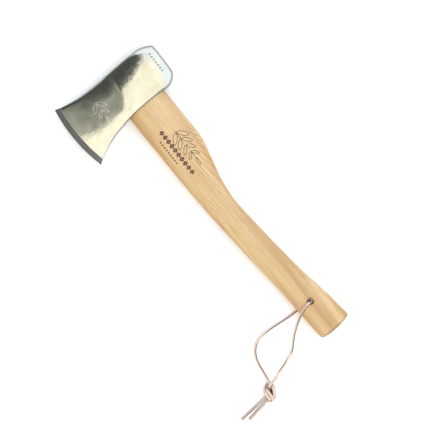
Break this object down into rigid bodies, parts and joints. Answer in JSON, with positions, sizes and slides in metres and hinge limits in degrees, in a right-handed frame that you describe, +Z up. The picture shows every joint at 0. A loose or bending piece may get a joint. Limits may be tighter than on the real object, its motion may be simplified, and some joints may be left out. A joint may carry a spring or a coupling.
{
  "type": "carving hatchet",
  "caption": "Small forged hatchet with a swelled ash handle, wedged eye, ground bevel and a knotted leather hanging thong that swings in the butt.",
  "frame": {"origin": "on the resting surface, below the centre of the eye, in the plane of the lower cheek", "axes": "+X along the handle from the head to the butt; -Y towards the cutting edge, +Y towards the poll; +Z up, square to the cheeks"},
  "size_m": [0.3845, 0.1689, 0.0292],
  "materials": {
    "forged_steel": "polished cheeks, coarser ground bevel",
    "ash_wood": "oiled, pale, long straight grain",
    "wedge_wood": "sawn, oiled",
    "ring_steel": "turned, dull",
    "thong_leather": "natural vegetable tanned, square cut"
  },
  "bodies": {
    "hatchet": {"head": "forged_steel", "handle": "ash_wood", "wooden_wedge": "wedge_wood", "ring_wedge": "ring_steel"},
    "thong": {"thong_upper_leg": "thong_leather", "thong_lower_leg": "thong_leather", "thong_knot": "thong_leather", "thong_tail_long": "thong_leather", "thong_tail_short": "thong_leather"}
  },
  "joints": [
    {"name": "thong_swing", "type": "hinge", "parent": "hatchet", "child": "thong", "pos_m": [0.294, 0.0079, 0.0135], "axis": [0, 0, 1], "range_deg": [-88, 218]}
  ]
}
